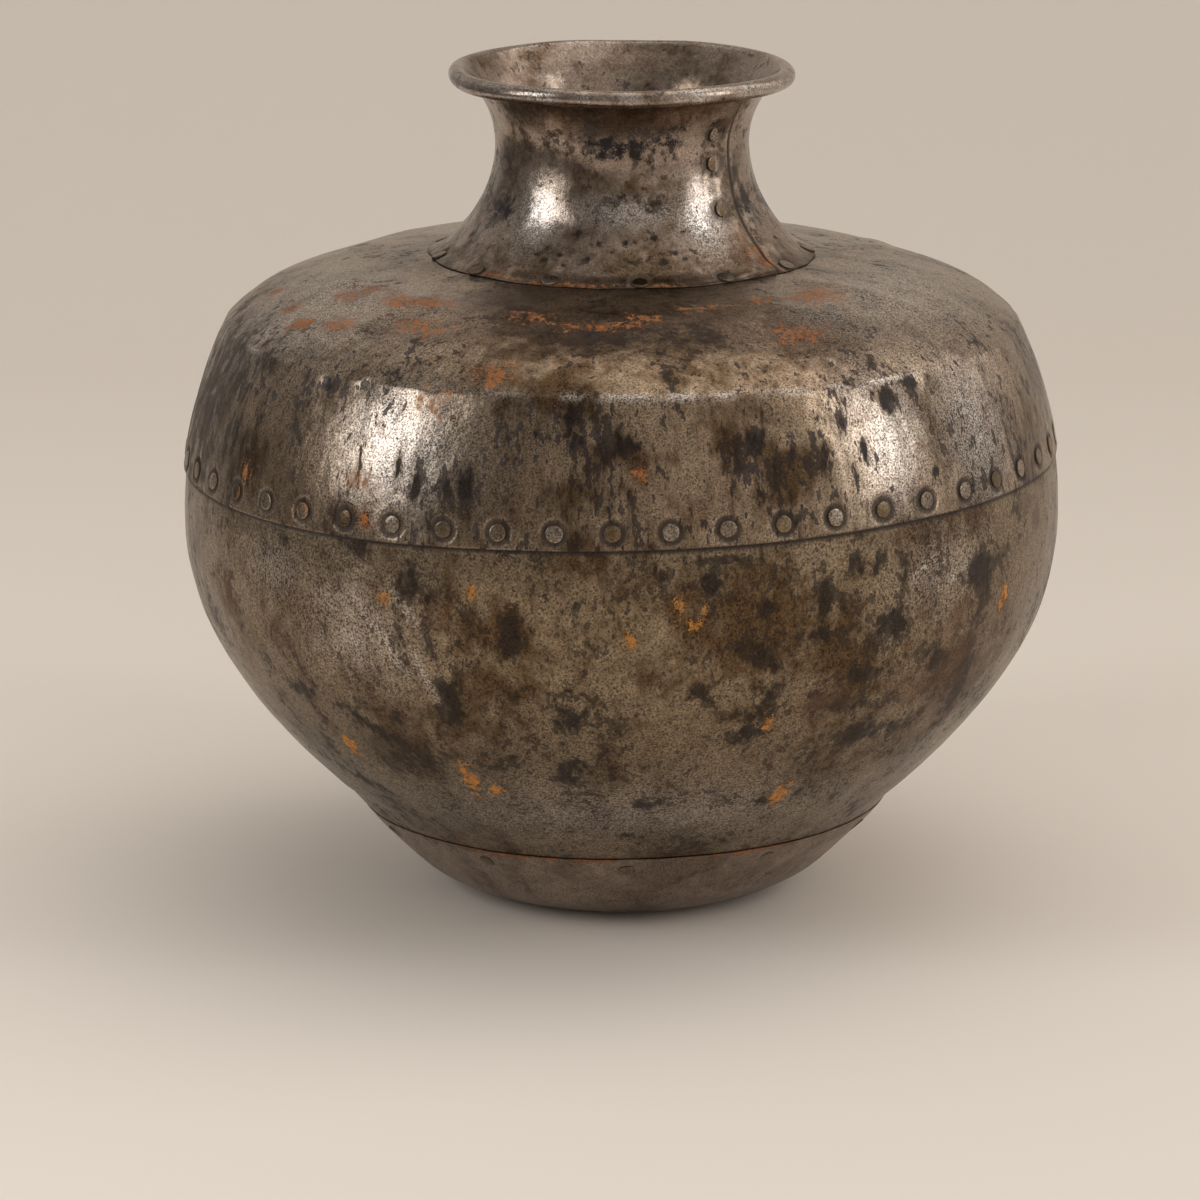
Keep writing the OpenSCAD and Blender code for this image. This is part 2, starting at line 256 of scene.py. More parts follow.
# Hand work in the body's sheets: the hammer's waves, lumps and marks (size, depth, seed), upright flutes on
# the band, knocks, ridges, grooves over the pan, and a crease that wanders (size, seed, share) and rises in
# front (degrees, mm, reach in degrees)
handWork = {
    "hammering": [(46 * mm, 0.9 * mm, 3.7), (17 * mm, 0.42 * mm, 8.1), (8 * mm, 0.14 * mm, 21.4)],
    "flutes": 5 * mm, "fluteStretch": 0.18, "fluteDepth": 0.16 * mm,
    "fluteFrom": 20 * mm, "fluteFull": 34 * mm, "fluteFade": 8 * mm, "fluteEnd": 4 * mm,
    "heights": {"knocks": -0.8 * mm, "softCrease": -0.7 * mm, "ridges": 0.9 * mm, "grooves": -1.3 * mm},
    "knocks": [
        (-45, 84, 8, 7), (-38, 86, 7, 6), (-27, 88, 8, 6), (33, 90, 10, 6), (44, 87, 9, 8),
        (54, 87, 8, 7), (95, 87, 9, 8), (140, 86, 8, 7), (-110, 86, 9, 8), (-160, 87, 8, 7)],
    "softCrease": [(-42, 87, 130, 17), (-120, 87, 160, 17), (150, 87, 140, 17)],
    "ridges": [
        (-47.5, 123, 10, 44), (32, 147, 40, 8, -30), (58, 146, 11, 60, 15), (-25, 118, 46, 9, 20),
        (75, 115, 60, 10, 12), (-80, 120, 44, 10, -15), (120, 130, 60, 10, -20),
        (-140, 125, 50, 11, 18)],
    "grooves": [(-66, -139, 90, 9), (80, -140, 60, 9), (170, -140, 120, 9)],
    "seatFrom": 39 * mm, "seatFull": 27 * mm, "footClear": 25 * mm,
    "creaseWander": 2.2 * mm, "wanders": [(38 * mm, 5.5, 0.6), (90 * mm, 2.5, 0.4)],
    "creaseRises": [(-1, 4.5, 15), (2, 2.5, 4), (15, 3, 6)], "creaseReach": 13 * mm,
}


# Height of the hand work along the sheet's normal, the sum of its lumps and patches: inwards but for the
# ridges, while the foot and the neck's seat stay true
def handDents(along, angle):
    r, z, h = bodyCourse(along)
    p = roundAxis(r, angle, z)
    depth = 0
    for size, deep, seed in handWork["hammering"]:
        depth = depth + deep * (lumps(p, size, seed) - 1) / 2
    onBand = smoothStep(handWork["fluteFrom"], handWork["fluteFull"], along) * (1 - smoothStep(
        creaseAlong - handWork["fluteFade"], creaseAlong + handWork["fluteEnd"], along))
    flutes = lumps(p * (1, 1, handWork["fluteStretch"]), handWork["flutes"], 17.7)
    depth = depth + handWork["fluteDepth"] * (flutes - 1) / 2 * onBand
    for marks, height in handWork["heights"].items():
        depth = depth + height * patches(along, angle, r, handWork[marks])
    depth = depth * (1 - smoothStep(mouthEnd - handWork["seatFrom"], mouthEnd - handWork["seatFull"], along))
    return depth * smoothStep(flatFoot, flatFoot + handWork["footClear"], along)


# The crease wanders up and down round the pot and rises in front
def wandered(along, angle):
    ring = roundAxis(body["bellyRadius"], angle)
    wander = handWork["creaseWander"] * sum(
        lumps(ring, size, seed) * share for size, seed, share in handWork["wanders"])
    azimuth = (np.degrees(angle) + 270) % 360 - 180
    for at, rise, reach in handWork["creaseRises"]:
        wander = wander - rise * mm * np.exp(-((azimuth - at) / reach) ** 2)
    return along + wander * np.exp(-((along - creaseAlong) / handWork["creaseReach"]) ** 2)


# Points of a body sheet at a distance along, an angle and a layer height over the course
def bodyPoints(along, angle, height):
    r, z, h = bodyCourse(wandered(along, angle))
    height = height + handDents(along, angle)
    return roundAxis(r + np.sin(h) * height, angle, z - np.cos(h) * height)


# Closed section of a sheet, the same at every angle: outer face upwards, eased edge, inner face downwards,
# eased edge. Gives grids of the distance along, the layer height, 1 on the outer face, and the angle
def sheetSection(outerRows, innerRows, layer, ease, angle):
    low, high = layer
    top, foot = outerRows[-1] + ease, outerRows[0] - ease
    out, back = len(outerRows), len(innerRows)
    along = np.concatenate([outerRows, [top, top], innerRows[::-1], [foot, foot]])
    height = np.concatenate([
        np.full(out, high), [high - ease, low + ease], np.full(back, low), [low + ease, high - ease]])
    outside = np.concatenate([np.ones(out), [1, 0], np.zeros(back), [0, 1]])
    return np.broadcast_arrays(along[:, None], height[:, None], outside[:, None], angle)


rivetGap = 3 * mm  # the least room between two rivets of a row


# Middles of the rivets of a CAD node: its corners are parted where a gap opens in angle or in height
def rivetPlaces(node, byHeight=False):
    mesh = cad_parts[node].data
    corners = np.zeros(len(mesh.vertices) * 3)
    mesh.vertices.foreach_get("co", corners)
    x, y, z = corners.reshape(-1, 3).T
    radius = np.hypot(x, y).mean()
    key = z if byHeight else np.arctan2(y, x) * radius
    order = np.argsort(key)
    group = np.zeros(len(key), int)
    group[order] = np.cumsum(np.diff(key[order], prepend=key[order[0]]) > rivetGap)
    count = np.bincount(group)
    middle = np.stack([np.bincount(group, side) / count for side in (x, y, z)], -1)
    # a rivet that the ends of the angles cut in two is joined again
    if not byHeight and key.max() - key.min() > 2 * pi * radius - rivetGap:
        middle[0] = (middle[0] * count[0] + middle[-1] * count[-1]) / (count[0] + count[-1])
        middle = middle[:-1]
    return middle


# Distance from every grid point to the nearest rivet
def rivetDistance(points, places):
    return np.min([np.linalg.norm(points - place, axis=-1) for place in places], axis=0)


rivetDirtAndShade = {"from": 2.9 * mm, "full": 3.5 * mm, "fade": 5.1 * mm, "end": 6.5 * mm, "least": 0.82}


# Dirt and painted shade in the hollow round a rivet head, uneven round the ring
def ringDirtAndShade(away, uneven):
    ring = smoothStep(rivetDirtAndShade["from"], rivetDirtAndShade["full"], away)
    ring = ring * (1 - smoothStep(rivetDirtAndShade["fade"], rivetDirtAndShade["end"], away))
    return ring * (rivetDirtAndShade["least"] + (1 - rivetDirtAndShade["least"]) * uneven)


# Stage: pale floor that sweeps up into a backdrop
stage = {
    "front": -3.4, "back": 1.1, "sweep": 0.7, "top": 3.2, "left": -1.0, "right": 2.4, "steps": 24,
    "paint": "#f2ebe2", "rough": 0.9,
}

turn = np.linspace(0, pi / 2, stage["steps"])
wallY = stage["back"] + stage["sweep"]
sweepY = np.concatenate([[stage["front"]], stage["back"] + stage["sweep"] * np.sin(turn), [wallY]])
sweepZ = np.concatenate([[0], stage["sweep"] * (1 - np.cos(turn)), [stage["top"]]])
sides = [np.stack([np.full_like(sweepY, x), sweepY, sweepZ], -1) for x in (stage["left"], stage["right"])]
k = np.arange(len(sweepY) - 1)
sweepFaces = [np.stack([2 * k, 2 * k + 1, 2 * k + 3, 2 * k + 2], -1)]
sweepPiece = makePiece("studio_sweep", np.stack(sides, 1), sweepFaces)

# Matte painted board: pale and even, with no gloss
sweepPaint = bpy.data.materials.new("matte painted board")
sweepPaint.use_nodes = True
sweepShader = sweepPaint.node_tree.nodes["Principled BSDF"]
sweepShader.inputs["Base Color"].default_value = toLinear(stage["paint"])
sweepShader.inputs["Roughness"].default_value = stage["rough"]
sweepPiece.data.materials.append(sweepPaint)

# Light: two tall soft boxes beside the camera, and a pale room, brightest behind the pot and dim on its left
light = {
    "left": {"azimuth": -67, "away": 1.7, "height": 0.95, "wide": 0.6, "tall": 1.05, "power": 7.8},
    "right": {"azimuth": 69, "away": 1.7, "height": 0.95, "wide": 0.4, "tall": 1.05, "power": 4.7},
}
room = {
    "colour": "#d8d1ca", "front": 0.78, "back": 2.05, "left": 0.36, "right": 1.2,
    "backward": (0, 0.75, 0.65), "backFrom": 0.1, "backFull": 0.9, "leftEnd": -0.7, "rightFull": 0.5,
}

for name, lamp in light.items():
    area = bpy.data.lights.new("soft box " + name, "AREA")
    area.shape, area.energy = "RECTANGLE", lamp["power"]
    area.size, area.size_y = lamp["wide"], lamp["tall"]
    box = bpy.data.objects.new("soft box " + name, area)
    turned = radians(lamp["azimuth"])
    box.location = (lamp["away"] * sin(turned), -lamp["away"] * cos(turned), lamp["height"])
    tip = atan2(lamp["height"] - body["bellyHeight"], lamp["away"])
    box.rotation_euler = (pi / 2 - tip, 0, turned)
    scene.collection.objects.link(box)

world = bpy.data.worlds.new("pale room")
world.use_nodes = True
scene.world = world
sky = world.node_tree
sky.nodes.clear()
toward = addNode(sky, "TexCoord")["Generated"]
backward = addNode(sky, "VectorMath", {0: toward, 1: room["backward"]}, operation="DOT_PRODUCT")["Value"]
sideways = addNode(sky, "SeparateXYZ", {0: toward})[0]
behind, beside = (
    addNode(sky, "MapRange", {0: way, 1: room[low], 2: room[high], 3: room[least], 4: room[most]},
            interpolation_type="SMOOTHSTEP")[0]
    for way, low, high, least, most in (
        (backward, "backFrom", "backFull", "front", "back"),
        (sideways, "leftEnd", "rightFull", "left", "right")))
glow = addNode(sky, "Math", {0: behind, 1: beside}, operation="MULTIPLY")[0]
glow = addNode(sky, "Background", {"Color": toLinear(room["colour"]), "Strength": glow})[0]
addNode(sky, "OutputWorld", {"Surface": glow})
print("stage and light set")


# Hammered sheet iron, old and handled: bare metal where it is rubbed, thin brown oxide, upright blue-black
# flecks of forge scale that crowd into patches, a salt-and-pepper grain, faint upright polishing streaks,
# stains, and rust in clusters of specks where water stood. A piece's own masks say where each of these
# gathers: rust, dark, rubbed wear, grime and film. The wear mask also paints some highlights, and the grime,
# dark and film masks also paint some shade
def hammeredIron(name, look):
    made = bpy.data.materials.new(name)
    made.use_nodes = True
    made.node_tree.nodes.clear()
    add = partial(addNode, made.node_tree)
    place = add("TexCoord")["Object"]
    tall, brushed = (
        add("Mapping", {"Vector": place, "Scale": (1, 1, look[key])})[0]
        for key in ("stretch", "brush"))
    # each noise has its size, where it is read, its detail, the strength of its fine end and its warp
    cloud, blot, dash, grain, stain, hammer, fleck, streak = (
        add("TexNoise", {"Vector": where, "Scale": 1 / look[size], "Detail": detail, "Roughness": fine,
                         "Distortion": warp})[0]
        for size, where, detail, fine, warp in (
            ("cloudSize", place, 5, 0.6, 0), ("blotSize", tall, 4, 0.6, 0.3),
            ("dashSize", tall, 4, 0.65, 0), ("grainSize", place, 2, 0.6, 0),
            ("stainSize", place, 6, 0.7, 0), ("hammerSize", place, 2, 0.5, 0),
            ("fleckSize", tall, 3, 0.6, 0), ("streakSize", brushed, 3, 0.5, 0)))
    rust, dark, wornAndSheen, grimeAndShade, film = (
        add("Attribute", attribute_name=mask)["Fac"]
        for mask in ("rust", "dark", "wornAndSheen", "grimeAndShade", "film"))

    # noises and masks are added up, each by its share: patches of scale that tear at their edges and crowd
    # in dark places, small flecks between them, brown oxide, rust, stains, grain, film, the rust's own
    # colour and the height of the surface
    depth = look["hammerDepth"]
    sums = {}
    for key, total, shares in (
            ("patch", dash, [(blot, look["blotShare"]), (grain, look["grainShare"]),
                             (dark, look["darkPull"]), (wornAndSheen, -look["wornPush"])]),
            ("small", fleck, [(blot, 0.7), (dark, 0.16), (wornAndSheen, -0.1)]),
            ("drift", cloud, [(blot, 0.5), (dash, 0.5), (grain, 0.3)]),
            ("rusty", fleck, [(rust, 0.5), (grain, 0.6)]),
            ("tint", stain, [(rust, 0.16), (fleck, 0.4)]),
            ("pepper", grain, [(fleck, 0.4)]),
            ("veil", stain, [(dash, 0.8)]),
            ("speck", fleck, [(grain, 0.5)]),
            ("lift", hammer, [(grain, look["grainDepth"] / depth), (dash, look["dashDepth"] / depth),
                              (streak, look["streakDepth"] / depth)])):
        for value, share in shares:
            total = add("Math", {0: value, 1: share, 2: total}, operation="MULTIPLY_ADD")[0]
        sums[key] = total

    # each sum then fades in between two levels: softly up to its share, or evenly from its least to its most
    level = 0.5 * (1 + look["blotShare"] + look["grainShare"]) + look["scaleOver"]
    fleckFrom, rustFrom, stainFrom = 0.85 + look["fleckOver"], look["rustFrom"], look["stainFrom"]
    oxide, small, brown, rusty, tint, shine = (
        add("MapRange", {0: value, 1: low, 2: high, 4: most}, interpolation_type="SMOOTHSTEP")[0]
        for value, low, high, most in (
            (sums["patch"], level, level + look["scaleFade"], look["scaleShare"]),
            (sums["small"], fleckFrom, fleckFrom + 0.06, look["fleckShare"]),
            (sums["drift"], 1.06, 1.3, 1),
            (sums["rusty"], rustFrom, rustFrom + 0.2, look["rustShare"]),
            (sums["tint"], stainFrom, stainFrom + 0.14, look["stainShare"]),
            (grain, 0.3, 0.6, look["shine"])))
    pepper, veil, speck = (
        add("MapRange", {0: value, 1: low, 2: high, 3: least, 4: most})[0]
        for value, low, high, least, most in (
            (sums["pepper"], 0.52, 0.88, 1 - look["pepper"], 1 + look["pepper"]),
            (sums["veil"], 0.74, 0.98, 0, 1), (sums["speck"], 0.62, 0.98, 0, 1)))
    oxide = add("Math", {0: oxide, 1: small}, operation="MAXIMUM")[0]
    # shine is rubbed metal and partly a painted highlight; soil is dirt and partly painted shade
    shine, veil, soilAndShade = (
        add("Math", {0: value, 1: mask}, operation="MULTIPLY")[0]
        for value, mask in ((shine, wornAndSheen), (veil, film), (0.95, grimeAndShade)))

    # coats over the bare metal, from the first to the last: how much of each lies there, and its colour
    hue = {key: toLinear(value) for key, value in look.items() if isinstance(value, str)}
    black = add("Mix", {0: brown, 6: hue["scale"], 7: hue["burnt"]}, data_type="RGBA")[2]
    orange = add("Mix", {0: speck, 6: hue["rust"], 7: hue["freshRust"]}, data_type="RGBA")[2]
    colour = hue["bare"]
    for share, coat, way in (
            (brown, hue["brown"], "MIX"), (shine, hue["rubbedAndSheen"], "MIX"), (tint, hue["stain"], "MIX"),
            (oxide, black, "MIX"), (veil, hue["film"], "MIX"), (1.0, pepper, "MULTIPLY"),
            (rusty, orange, "MIX"), (soilAndShade, hue["soilAndShade"], "MIX")):
        colour = add("Mix", {0: share, 6: colour, 7: coat}, data_type="RGBA", blend_type=way)[2]

    # every coat takes gloss away; scale and film hide part of the metal, and rust and soil, dirt with
    # painted shade, all of it
    rough = look["rough"]
    for coat, share in ((oxide, 0.18), (tint, 0.15), (veil, 0.2), (soilAndShade, 0.4), (rusty, 0.4)):
        rough = add("Math", {0: coat, 1: share, 2: rough}, operation="MULTIPLY_ADD", use_clamp=True)[0]
    hidden = add("Math", {0: oxide, 1: 0.35}, operation="MULTIPLY")[0]
    hidden = add("Math", {0: veil, 1: 0.5, 2: hidden}, operation="MULTIPLY_ADD")[0]
    for coat in (rusty, soilAndShade):
        hidden = add("Math", {0: hidden, 1: coat}, operation="MAXIMUM")[0]
    metallic = add("Math", {0: 1.0, 1: hidden}, operation="SUBTRACT", use_clamp=True)[0]

    bump = add("Bump", {"Height": sums["lift"], "Distance": depth, "Strength": 1.0})[0]
    shader = add("BsdfPrincipled", {
        "Base Color": colour, "Roughness": rough, "Metallic": metallic, "Normal": bump})
    add("OutputMaterial", {"Surface": shader[0]})
    return made


# Shared starting look of the old iron; each piece then sets what differs. The grain is about 0.3 mm on the
# real sheet and is drawn at 0.75 mm so that it shows
oldIron = {
    # the pale rubbed colour is worn metal, and it also paints the glare whiter
    "bare": "#927f6a", "brown": "#5a4733", "rubbedAndSheen": "#c0bab4", "scale": "#1a1923", "burnt": "#241b15",
    "stain": "#5e432f", "film": "#4a3620", "rust": "#72462b", "freshRust": "#b6743b", "soilAndShade": "#26190e",
    "cloudSize": 40 * mm, "blotSize": 21 * mm, "stainSize": 18 * mm, "hammerSize": 9 * mm,
    "dashSize": 6 * mm, "fleckSize": 3.2 * mm, "streakSize": 2.6 * mm, "grainSize": 0.75 * mm,
    "stretch": 0.36, "brush": 0.1, "blotShare": 0.75, "grainShare": 0.4, "darkPull": 0.21, "wornPush": 0.2,
    "scaleOver": 0.14, "scaleFade": 0.09, "scaleShare": 0.95, "fleckOver": 0.07, "fleckShare": 0.8,
    "pepper": 0.66, "shine": 0.85, "stainFrom": 0.75, "stainShare": 0.5,
    "rustFrom": 1.06, "rustShare": 0.85, "rough": 0.28,
    "hammerDepth": 0.32 * mm, "dashDepth": 0.06 * mm, "streakDepth": 0.06 * mm, "grainDepth": 0.03 * mm,
}


# Wraps a finished piece up: finish, body, CAD node and slot
def finishPiece(piece, material, node):
    piece.data.materials.append(material)
    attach(piece, "root")
    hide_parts(node)
    print("%s: %d faces" % (piece.name, len(piece.data.polygons)))


# Upper shell: band and shoulder in one sheet
shell = {
    "seamHeight": 190 * mm, "seamTilt": 1.2, "seamWave": 1.1 * mm, "waveSize": 110 * mm,
    "edgeEase": 0.35 * mm, "edgeDarkening": 0.5 * mm, "columnsPerRivet": 18,
    "dish": 0.55 * mm, "dishFloor": 4.5 * mm, "dishRim": 6.6 * mm, "lipWidth": 0.8 * mm, "lipShare": 0.175,
    "foldLift": 0.8 * mm, "foldWidth": 1.9 * mm, "bandRust": 0.75, "shoulderRust": 0.92,
    "streakShare": 1.2, "hazeShare": 0.35, "wornShare": 0.8, "filmShare": 0.8,
    "rust": [
        (-63, 133, 19, 11), (-61, 143, 18, 10), (-49, 140, 28, 13), (-41, 144, 20, 9),
        (-53, 113, 19, 13), (-61, 107, 14, 11), (-69, 113, 12, 11), (-83, 113, 12, 11),
        (-37, 123, 30, 13), (-19, 141, 22, 10), (-4, 135, 34, 9), (-19, 98, 16, 12), (32, 155, 18, 9),
        (46, 151, 30, 18), (31, 121, 26, 16), (17, 152, 22, 8), (4, 143, 14, 8), (2, 56, 10, 7),
        (-36, 47, 15, 9, -20), (-26, 82, 16, 14), (-35, 31, 9, 12, 20), (-57, 38, 8, 22, 15),
        (120, 125, 30, 16), (175, 140, 24, 12), (-130, 118, 26, 14)],
    # The wide patches in front just below the neck, near 0 degrees, and those at -62 to -75 degrees are
    # partly scale and partly painted shade: the neck's shade and reflection, and the dim left flank
    "dark": [
        (0, 132, 90, 22), (8, 152, 50, 14), (-20, 148, 30, 16), (17, 67, 9, 14), (20, 58, 8, 16),
        (26, 72, 12, 14), (27, 60, 9, 18), (31, 48, 7, 14), (34, 60, 8, 22), (39, 76, 16, 14),
        (1, 70, 20, 8), (-7, 82, 18, 8), (-63, 77, 34, 34), (-75, 55, 46, 70), (-9, 72, 22, 14),
        (-62, 53, 22, 26), (-19, 47, 10, 9), (100, 66, 40, 30), (160, 60, 34, 26), (-110, 64, 36, 30),
        (-150, 70, 30, 24)],
    "haze": [(22, 64, 70, 52), (-3, 76, 60, 24), (-40, 44, 60, 24), (62, 60, 50, 50)],
    "streaks": [
        (-36, 52, 3, 14), (-30, 55, 4, 16), (-27, 50, 4, 14), (-23, 47, 5, 14), (-20.5, 47, 6, 12),
        (38, 80, 13, 12), (31, 50, 7, 16), (33, 60, 6, 14), (44, 45, 5, 9)],
    # These rubbed patches lie where the lamps' glare falls on the band: partly wear, partly a painted
    # highlight that whitens the glare
    "wornAndSheen": [(-31, 62, 60, 60), (37, 64, 40, 60), (54, 62, 44, 70)],
    "polished": [(-64, 128, 130, 70), (64, 132, 140, 80), (180, 130, 300, 80)],
    # The film below the neck at the front and at -76 and -88 degrees is partly film and partly painted shade
    "film": [
        (0, 156, 130, 40), (-10, 132, 70, 24), (24, 128, 50, 20), (-76, 56, 70, 100), (-88, 60, 60, 90)],
    "foldWearAndHighlight": [(7, 91, 130, 26), (38, 88, 60, 14), (-64, 88, 30, 14)],
}


# Height of the shell's lower edge: a tilted ring with a slow wave
def seamAlong(angle):
    ring = roundAxis(body["bellyRadius"], angle)
    rise = body["bellyRadius"] * tan(radians(shell["seamTilt"])) * np.cos(angle)
    return alongAt(shell["seamHeight"] + rise + shell["seamWave"] * lumps(ring, shell["waveSize"], 9.2))


# The shell is a grid of its closed section up the sheet and of angles round it, pressed in round each rivet
def upperShell():
    places = rivetPlaces("belly_seam_rivets")
    steps = len(places) * shell["columnsPerRivet"]
    # columns crowd at the walls of the dishes: an even count with a double wave in each pitch
    v = np.arange(steps) / shell["columnsPerRivet"]
    v = v + 0.5 * np.sin(4 * pi * v) / (4 * pi)
    angle = np.arctan2(places[0, 1], places[0, 0]) + v * 2 * pi / len(places)
    # rows in mm: close at the edge and past the rivets, wide on the band, close again over the crease
    middle, top = alongAt(shell["seamHeight"]), mouthEnd - 0.5 * mm
    outerRows = np.concatenate([
        middle + np.array([0.35, 0.9, 1.6]) * mm, middle + np.arange(2.4, 15.5, 0.9) * mm,
        np.arange(middle / mm + 17.5, creaseAlong / mm - 9, 2.8) * mm,
        creaseAlong + np.arange(-8, 11, 0.8) * mm, np.linspace(creaseAlong + 13 * mm, top, 24)])
    innerRows = np.concatenate([
        middle + np.arange(0.35, 24, 4) * mm, np.linspace(middle + 27 * mm, top, 14)])
    along, height, outside, angle = sheetSection(outerRows, innerRows, outerLayer, shell["edgeEase"], angle)
    # the lower rows follow the wave of the edge
    edgeAlong = seamAlong(angle)
    follow = 1 - smoothStep(middle + 18 * mm, creaseAlong - 14 * mm, along)
    along = along + (edgeAlong - middle) * follow
    away = rivetDistance(bodyPoints(along, angle, height), places)
    dish = shell["dish"] * (1 - smoothStep(shell["dishFloor"], shell["dishRim"], away)) * outside
    points = bodyPoints(along, angle, height - dish)
    spread = partial(patches, along, angle, np.hypot(points[..., 0], points[..., 1]))
    uneven = lumps(points, 9 * mm, 4.4) * 0.5 + 0.5
    # A pale line just above the crease's crest: rubbed metal, and partly a painted highlight where the
    # rounded crease catches the light
    fold = (wandered(along, angle) - creaseAlong - shell["foldLift"]) / shell["foldWidth"]
    crease = np.exp(-fold ** 2) * smoothStep(0.2, 0.7, uneven) * (0.2 + 0.8 * spread(shell["foldWearAndHighlight"]))
    lip = np.exp(-((away - shell["dishRim"]) / shell["lipWidth"]) ** 2) * uneven
    onShoulder = smoothStep(creaseAlong, creaseAlong + 15 * mm, along)
    rustShare = shell["bandRust"] + (shell["shoulderRust"] - shell["bandRust"]) * onShoulder
    streaks = spread(shell["streaks"])
    # The shell's lower edge is darkened: dirt, and partly a painted shadow line where the band stands off
    # the bowl
    edge = np.exp(-np.maximum(along - edgeAlong, 0) / shell["edgeDarkening"])
    masks = {
        "rust": np.sqrt(spread(shell["rust"])) * rustShare,
        "dark": np.maximum.reduce([
            spread(shell["dark"] + handWork["knocks"]), shell["streakShare"] * streaks,
            shell["hazeShare"] * spread(shell["haze"])]),
        "wornAndSheen": np.maximum.reduce([
            spread(shell["wornAndSheen"]) * shell["wornShare"] * (1 - streaks), spread(shell["polished"]),
            crease, shell["lipShare"] * lip]),
        "grimeAndShade": np.maximum(ringDirtAndShade(away, uneven), edge) * outside,
        "film": spread(shell["film"]) * shell["filmShare"],
    }
    return makePiece("upper_shell_iron", points, ringFaces(*along.shape, False), masks)


# The band's iron is the brightest: hands have polished it at both sides, where a painted highlight also
# whitens the glare, and blue-black scale lies between
shellIron = hammeredIron("hammered sheet iron, band and shoulder", oldIron)
finishPiece(upperShell(), shellIron, "upper_shell")


# Lower bowl: one raised sheet from inside the pan to inside the shell
bowl = {
    "foot": 26.4 * mm, "top": 210 * mm, "edgeEase": 0.3 * mm, "columns": 600,
    "wornShare": 0.45, "scratchShare": 0.9, "smearShare": 0.7,
    "seamDirtAndShade": 0.95, "darkUnderFull": 0.7 * mm, "darkUnderEnd": 2.5 * mm,
    "rust": [
        (-19, 6, 5, 6), (-31, -1, 5, 6), (1, -12, 5, 9), (-45, -82, 7, 11), (-24, -91, 6, 20),
        (-20, -98, 6, 7), (7, 2, 3, 8), (9, -6, 5, 4), (10, 0, 2, 5), (20, -56, 6, 7),
        (26, -103, 7, 13), (58, -15, 6, 9), (110, -30, 12, 10), (150, -70, 10, 14), (-120, -40, 12, 14),
        (-165, -15, 9, 11)],
    "smears": [
        (2, 13, 14, 6), (27, -46, 26, 12), (50, -33, 20, 50, 15), (-56, -5, 12, 36, 25),
        (44, -50, 40, 14, -10), (-62, -20, 14, 30), (130, -20, 30, 20), (-140, -50, 30, 26)],
    "dark": [
        (-36, 18, 24, 8), (-47, 15, 12, 6), (12, 21, 30, 5), (-26, 6, 30, 20), (-29, -25, 30, 8, -57),
        (-25, -14, 27, 7, -70), (-23, -45, 34, 11, -85), (-38, -66, 48, 11, -35), (-14, -15, 9, 28),
        (-6, 1, 11, 9), (-8, -49, 17, 28), (-8, -79, 19, 38), (-51, -108, 36, 7, -21),
        (-51, -53, 20, 7, -11), (25, -1, 18, 20), (18, -1, 8, 10), (37, -12, 20, 20), (44, -13, 13, 11),
        (17, -21, 25, 9, -30), (26, -14, 27, 8, 2), (43, -32, 26, 16), (32, -36, 30, 7, 3),
        (28, -48, 25, 16), (37, -51, 42, 10, -7), (20, -42, 12, 25), (10, -38, 17, 13),
        (38, -68, 44, 19), (17, -61, 18, 15), (53, -52, 42, 12, -86), (3, -103, 20, 14),
        (22, -107, 36, 7, -5), (5, 12, 7, 14), (11, 12, 8, 20), (30, 16, 8, 13), (34, 13, 9, 15),
        (38, 12, 9, 13), (49, 1, 40, 18), (90, -20, 40, 30, 20), (120, -50, 50, 24, -30),
        (150, -10, 30, 40), (180, -40, 50, 40, 10), (-90, -20, 40, 36, -20), (-110, -60, 60, 18, -35),
        (-140, -15, 30, 34, 10), (-160, -60, 40, 40)],
    "wornAndSheen": [(-36, -14, 60, 50, -20), (44, 5, 44, 30)],
    "scratches": [
        (-34, -8, 30, 4, -55), (-31, -20, 34, 4, -62), (-28, -4, 22, 3, -50), (-36, -24, 24, 4, -66),
        (-26, -34, 30, 3, -70), (41, 8, 20, 3, 30), (47, 2, 24, 3, 25)],
    "polished": [(0, -112, 220, 44), (-50, 4, 40, 30), (90, -100, 200, 40), (-90, -100, 200, 40)],
}


# The bowl is a grid of its closed section and of even angles, with rows that crowd below the shell's edge
def lowerBowl():
    angle = np.arange(bowl["columns"]) * 2 * pi / bowl["columns"]
    ease = bowl["edgeEase"]
    foot, top = alongAt(bowl["foot"]) + ease, alongAt(bowl["top"]) - ease
    seam = alongAt(shell["seamHeight"])
    outerRows = np.concatenate([
        np.linspace(foot, seam - 9 * mm, 72), seam + np.arange(-8, 7.5, 0.8) * mm,
        np.linspace(seam + 9 * mm, top, 5)])
    innerRows = np.linspace(foot, top, 36)
    along, height, _, angle = sheetSection(outerRows, innerRows, (-sheet, 0), ease, angle)
    under = seamAlong(angle) - along
    points = bodyPoints(along, angle, height)
    spread = partial(patches, along, angle, np.hypot(points[..., 0], points[..., 1]))
    masks = {
        "rust": np.sqrt(spread(bowl["rust"])),
        "dark": spread(bowl["dark"]),
        "wornAndSheen": np.maximum(spread(bowl["wornAndSheen"] + bowl["polished"]) * bowl["wornShare"],
                           spread(bowl["scratches"]) * bowl["scratchShare"]),
        # Darker just under the shell's edge: dirt, and partly a painted shadow of the band's edge
        "grimeAndShade": (1 - smoothStep(bowl["darkUnderFull"], bowl["darkUnderEnd"], under)) * bowl["seamDirtAndShade"],
        "film": spread(bowl["smears"]) * bowl["smearShare"],
    }
    return makePiece("lower_bowl_iron", points, ringFaces(*along.shape, False), masks)


